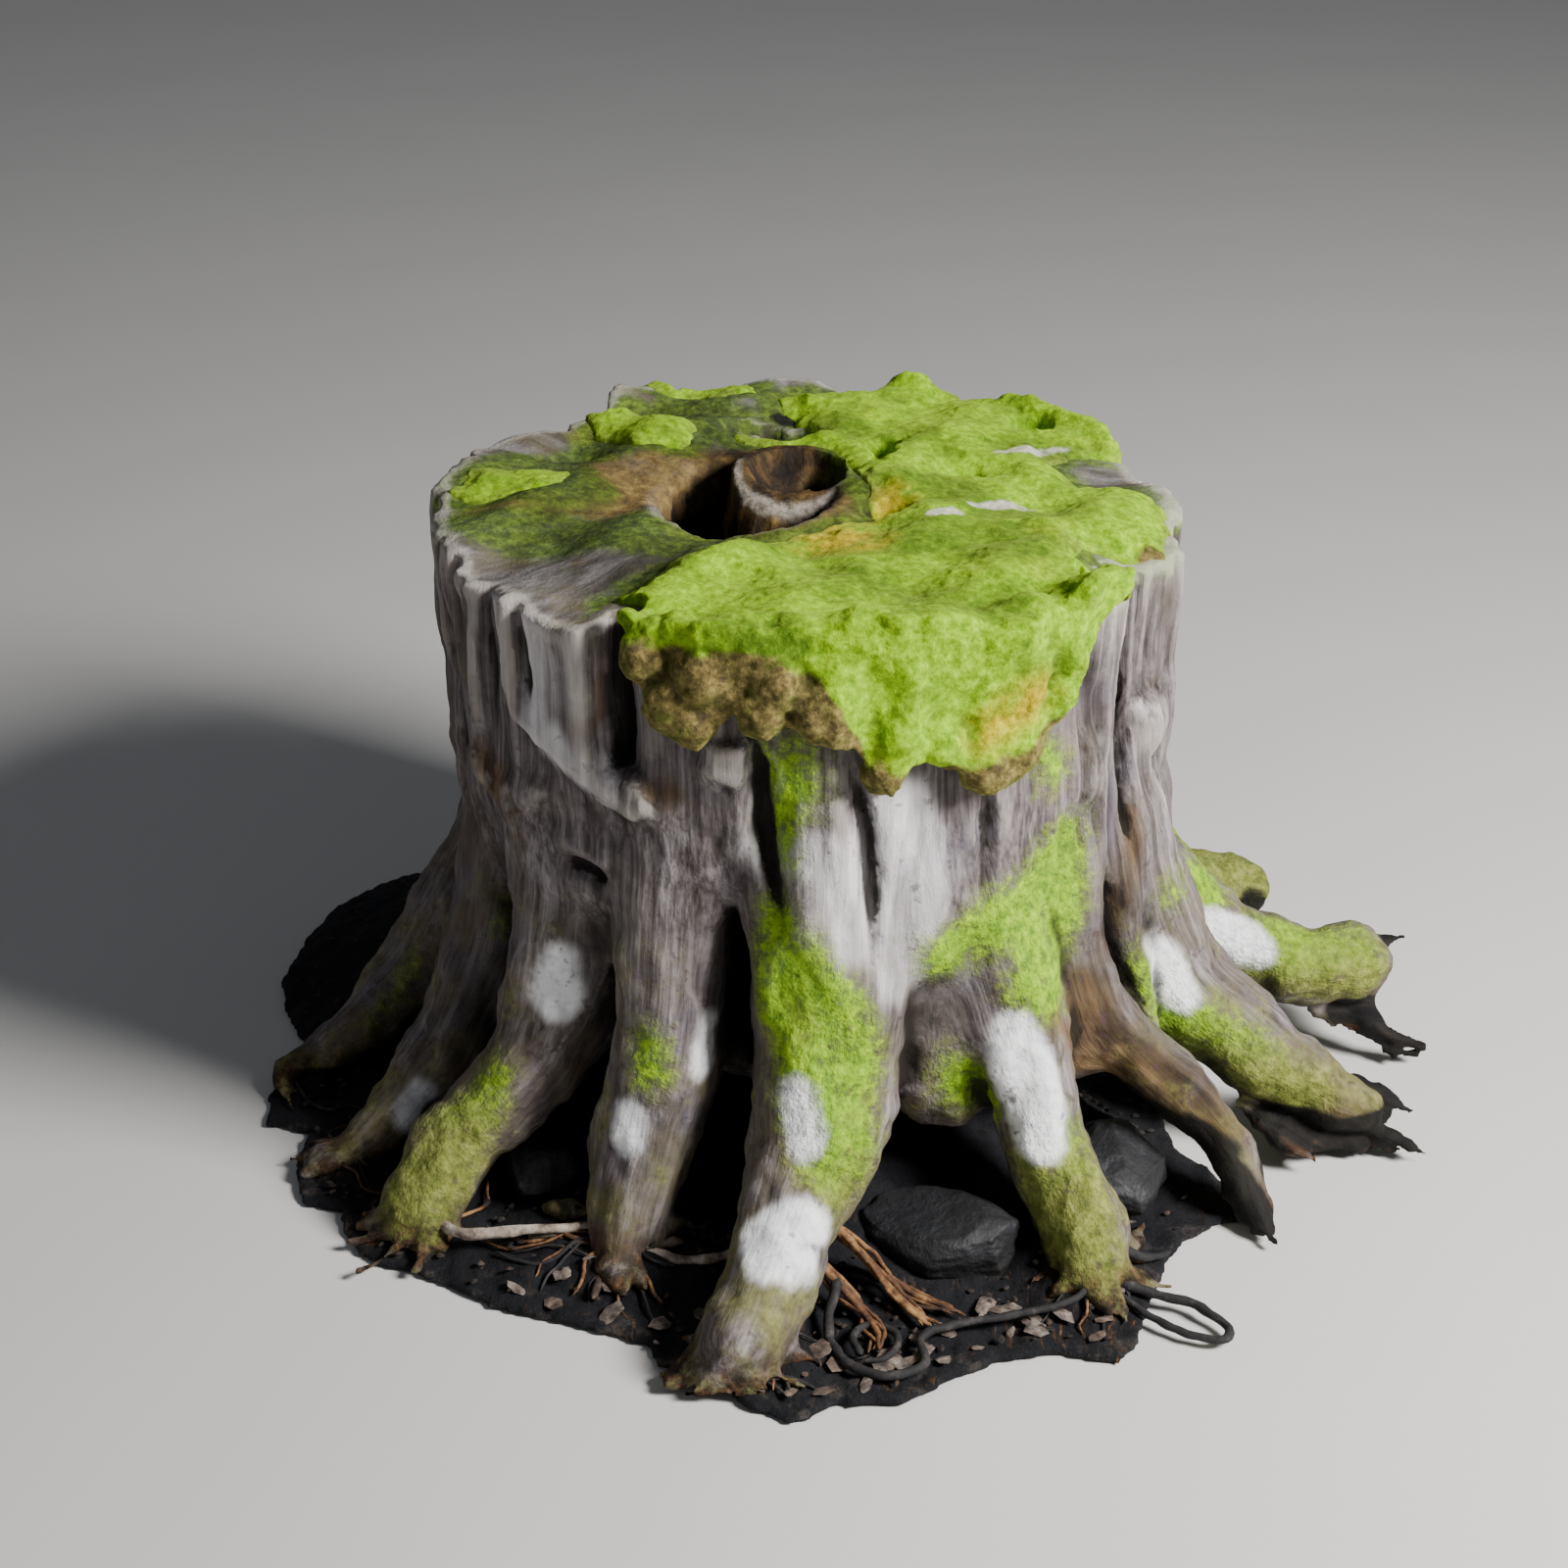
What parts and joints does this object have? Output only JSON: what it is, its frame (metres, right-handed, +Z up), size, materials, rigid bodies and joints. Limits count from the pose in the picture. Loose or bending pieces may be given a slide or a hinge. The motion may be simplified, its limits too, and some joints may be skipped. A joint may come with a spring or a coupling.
{
  "type": "tree stump",
  "caption": "Weathered tree stump with spreading roots, a rotted mossy cut face and a ragged crust of soil with stones.",
  "frame": {"origin": "on the trunk's axis at the level of the soil's flat underside", "axes": "+Z up along the trunk, -Y towards the side where the moss hangs over the rim, +X towards the roots with torn ends"},
  "size_m": [0.8532, 0.8171, 0.4651],
  "materials": {
    "wood": "weathered grey, fibrous, matt",
    "moss": "soft living moss, yellow green",
    "soil": "dry black forest soil",
    "stone": "rough grey stone"
  },
  "bodies": {
    "root": {"stump": "wood", "moss_mat": "moss", "moss_left": "moss", "moss_left_rim": "moss", "moss_back": "moss", "soil": "soil", "stone_right": "stone", "stone_front": "stone", "stone_left": "stone"}
  },
  "joints": []
}
